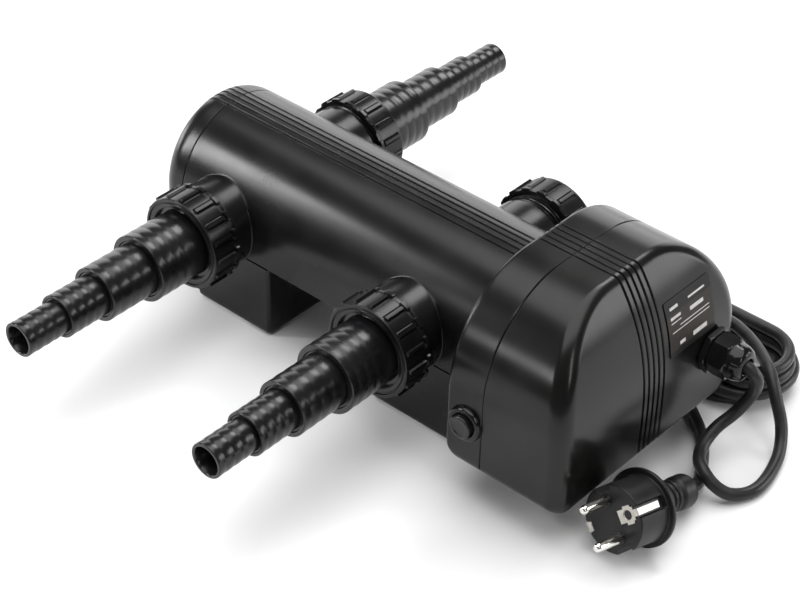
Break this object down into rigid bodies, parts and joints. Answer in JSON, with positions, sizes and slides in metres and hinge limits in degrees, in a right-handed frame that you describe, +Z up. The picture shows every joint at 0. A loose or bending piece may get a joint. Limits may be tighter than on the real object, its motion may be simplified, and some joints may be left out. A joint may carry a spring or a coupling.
{
  "type": "uv clarifier",
  "caption": "Pond UV clarifier: horizontal reactor tube with threaded union ports, stepped hose tails, lamp casing with cable gland, coiled mains cable and plug.",
  "frame": {"origin": "underside of the left foot, below the axis of the two left ports and midway between the near and far ports", "axes": "+X along the reactor towards the casing, +Y towards the far ports, +Z up"},
  "size_m": [0.3557, 0.3744, 0.123],
  "materials": {
    "black_plastic": "satin moulded",
    "black_rubber": "matt",
    "nickel": "polished nickel plate",
    "white_plastic": "satin",
    "quartz": "clear",
    "label": "printed film"
  },
  "bodies": {
    "housing": {"ballast": "nickel", "blanking_cap": "black_plastic", "casing_band": "black_plastic", "casing_cover": "black_plastic", "casing_screw_1": "nickel", "casing_screw_2": "nickel", "casing_screw_3": "nickel", "casing_screw_4": "nickel", "cord_hank": "black_rubber", "cord_lead": "black_rubber", "cord_main": "black_rubber", "earth_contact": "nickel", "earth_strip_1": "nickel", "earth_strip_2": "nickel", "end_cap": "black_plastic", "foot_left": "black_plastic", "foot_right": "black_plastic", "gland_body": "black_plastic", "gland_locknut": "black_plastic", "gland_seal": "black_rubber", "hank_tie": "black_rubber", "hose_tail_far_left": "black_plastic", "hose_tail_near_left": "black_plastic", "hose_tail_near_right": "black_plastic", "interlock_switch": "black_plastic", "label_plate": "label", "lamp_base": "white_plastic", "lamp_flange": "black_plastic", "lamp_socket": "white_plastic", "lock_ring": "black_plastic", "lock_spring": "nickel", "main_seal": "black_rubber", "plug_body": "black_plastic", "plug_pin_1": "nickel", "plug_pin_2": "nickel", "port_seal_far_left": "black_rubber", "port_seal_far_right": "black_rubber", "port_seal_near_left": "black_rubber", "port_seal_near_right": "black_rubber", "quartz_sleeve": "quartz", "reactor_body": "black_plastic", "sleeve_nut": "black_plastic", "sleeve_oring": "black_rubber", "strain_relief": "black_plastic", "terminal_block": "white_plastic", "uvc_lamp": "quartz"},
    "union_nut_far_left": {"union_nut_far_left": "black_plastic"},
    "union_nut_far_right": {"union_nut_far_right": "black_plastic"},
    "union_nut_near_left": {"union_nut_near_left": "black_plastic"},
    "union_nut_near_right": {"union_nut_near_right": "black_plastic"},
    "gland_nut": {"gland_nut": "black_plastic"},
    "lock_button": {"lock_button": "black_plastic", "lock_clip": "nickel"}
  },
  "joints": [
    {"name": "union_nut_far_left_spin", "type": "hinge", "parent": "housing", "child": "union_nut_far_left", "pos_m": [0, 0.066, 0.0614], "axis": [0, 1, 0], "continuous": true},
    {"name": "union_nut_far_right_spin", "type": "hinge", "parent": "housing", "child": "union_nut_far_right", "pos_m": [0.1338, 0.066, 0.0614], "axis": [0, 1, 0], "continuous": true},
    {"name": "union_nut_near_left_spin", "type": "hinge", "parent": "housing", "child": "union_nut_near_left", "pos_m": [0, -0.066, 0.0614], "axis": [0, -1, 0], "continuous": true},
    {"name": "union_nut_near_right_spin", "type": "hinge", "parent": "housing", "child": "union_nut_near_right", "pos_m": [0.1338, -0.066, 0.0614], "axis": [0, -1, 0], "continuous": true},
    {"name": "gland_nut_spin", "type": "hinge", "parent": "housing", "child": "gland_nut", "pos_m": [0.27, 0.0485, 0.059], "axis": [1, 0, 0], "continuous": true},
    {"name": "lock_press", "type": "slide", "parent": "housing", "child": "lock_button", "axis": [0, 1, 0], "range_m": [0, 0.003], "stiffness_N_per_m": 400, "springref_m": -0.002, "deforming": ["lock_spring"]}
  ]
}
